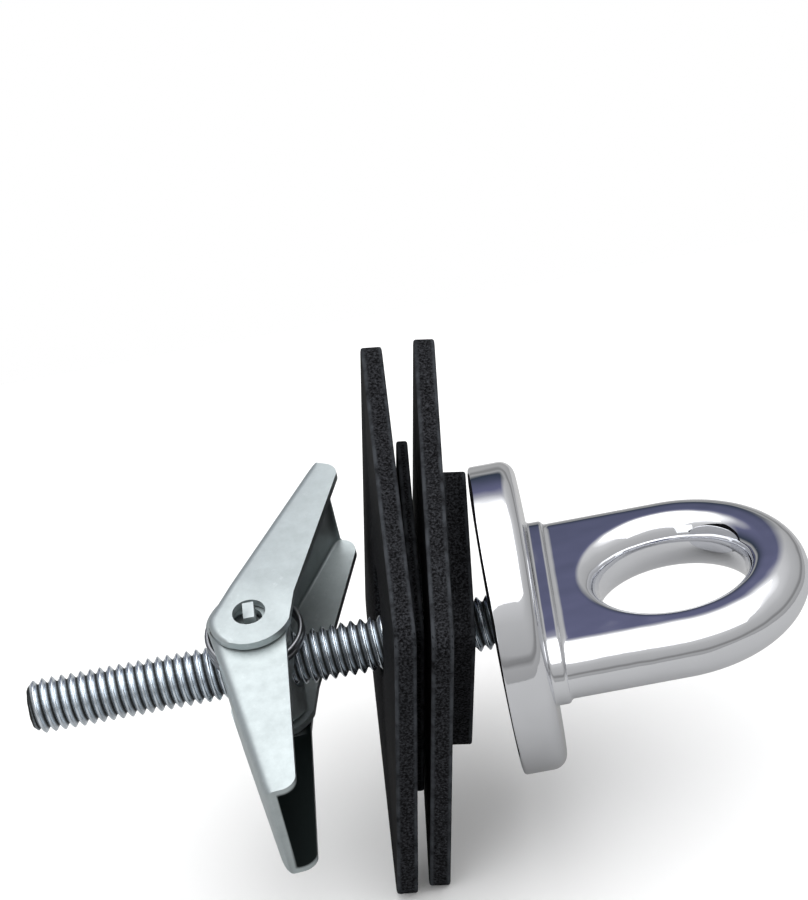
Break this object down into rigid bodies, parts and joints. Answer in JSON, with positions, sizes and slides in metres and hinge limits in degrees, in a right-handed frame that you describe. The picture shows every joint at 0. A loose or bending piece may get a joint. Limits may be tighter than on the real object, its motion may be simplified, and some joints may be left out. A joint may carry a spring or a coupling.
{
  "type": "pad eye",
  "caption": "Chromed cast pad eye on a round flange, with a threaded stud, stacked square rubber gaskets and a spring toggle anchor.",
  "frame": {"origin": "centre of the flange's flat back face, on the stud's axis", "axes": "+X along the stud towards the eye, +Z square to the eye plate's flat faces, +Y across the eye"},
  "size_m": [0.1133, 0.0708, 0.0701],
  "materials": {
    "chrome": "polished chrome over a casting",
    "zinc_stud": "bright zinc plate",
    "rubber": "matt black, cut edges",
    "zinc_sheet": "pale zinc plate on pressed sheet",
    "spring_steel": "drawn wire"
  },
  "bodies": {
    "fitting": {"pad_eye": "chrome", "stud": "zinc_stud"},
    "gasket_stack": {"front_gasket": "rubber", "middle_gasket": "rubber", "small_gasket": "rubber"},
    "rear_gasket": {"rear_gasket": "rubber"},
    "toggle_nut": {"toggle_nut": "zinc_sheet", "toggle_spring": "spring_steel"},
    "wing_a": {"wing_a": "zinc_sheet"},
    "wing_b": {"wing_b": "zinc_sheet"}
  },
  "joints": [
    {"name": "stack_turn", "type": "hinge", "parent": "fitting", "child": "gasket_stack", "pos_m": [0, 0, 0], "axis": [1, 0, 0], "range_deg": [-6030, 0]},
    {"name": "rear_gasket_slide", "type": "slide", "parent": "gasket_stack", "child": "rear_gasket", "axis": [1, 0, 0], "range_m": [-0.0007, 0]},
    {"name": "nut_travel", "type": "slide", "parent": "gasket_stack", "child": "toggle_nut", "axis": [1, 0, 0], "range_m": [-0.02365, 0]},
    {"name": "wing_a_fold", "type": "hinge", "parent": "toggle_nut", "child": "wing_a", "pos_m": [-0.0339, 0, 0], "axis": [0, 0.225, -0.9744], "range_deg": [-21, 1], "stiffness_Nm_per_rad": 0.063, "deforming": ["toggle_spring"]},
    {"name": "wing_b_fold", "type": "hinge", "parent": "toggle_nut", "child": "wing_b", "pos_m": [-0.0346, 0, 0], "axis": [0, -0.225, 0.9744], "range_deg": [-4, 21], "stiffness_Nm_per_rad": 0.063}
  ],
  "couplings": [
    {"joint": "nut_travel", "follows": "stack_turn", "m_per_rad": 0.00022457}
  ]
}
